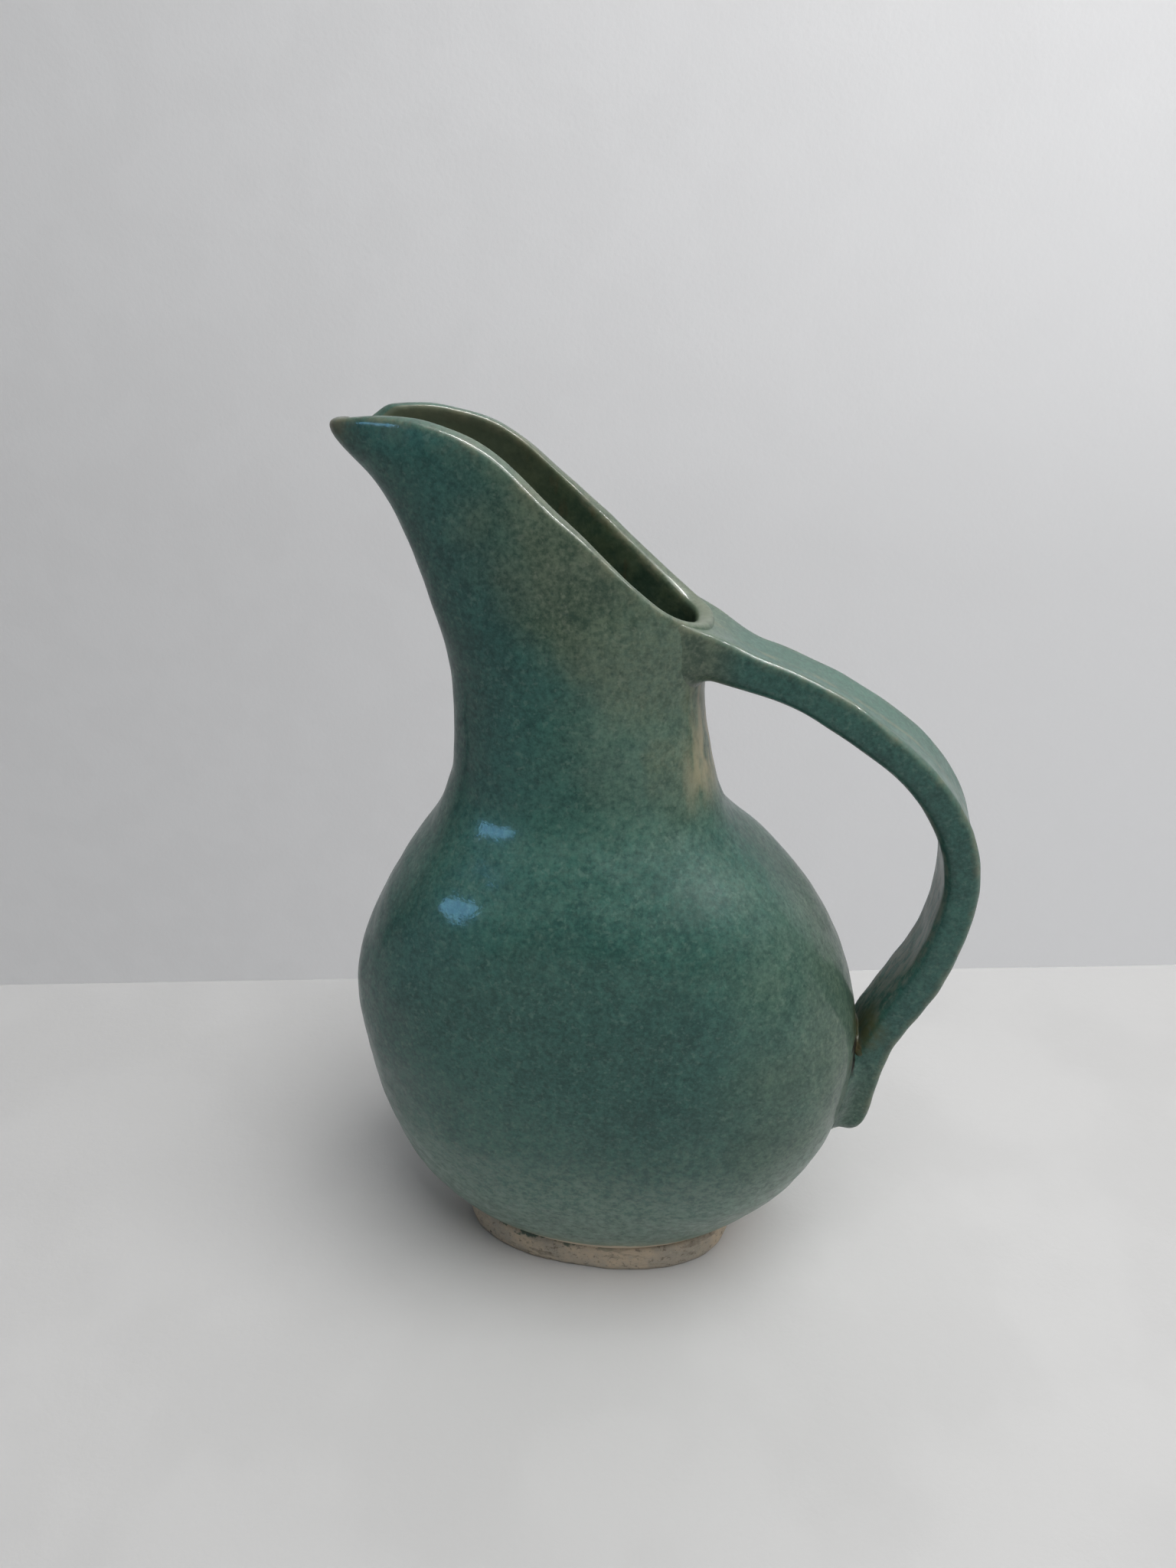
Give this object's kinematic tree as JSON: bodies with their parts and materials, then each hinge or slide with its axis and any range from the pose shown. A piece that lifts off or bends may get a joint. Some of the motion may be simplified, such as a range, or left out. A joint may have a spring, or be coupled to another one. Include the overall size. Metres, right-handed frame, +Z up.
{
  "type": "pitcher",
  "caption": "Flattened round-bellied stoneware pitcher with a long beaked spout, a pulled strap handle and a bare oval foot.",
  "frame": {"origin": "centre of the foot's resting face", "axes": "+Z up, +X towards the handle, -X towards the spout, Y across the flattened body"},
  "size_m": [0.185, 0.098, 0.28],
  "materials": {
    "glaze": "satin mottled blue-green glaze",
    "bare_clay": "matt unglazed stoneware",
    "lute_clay": "thinly glazed olive-brown slip"
  },
  "bodies": {
    "root": {"foot_ring": "bare_clay", "floor_slab": "glaze", "belly_wall": "glaze", "neck_spout": "glaze", "strap_handle": "glaze", "upper_lute": "glaze", "lower_lute": "lute_clay"}
  },
  "joints": []
}
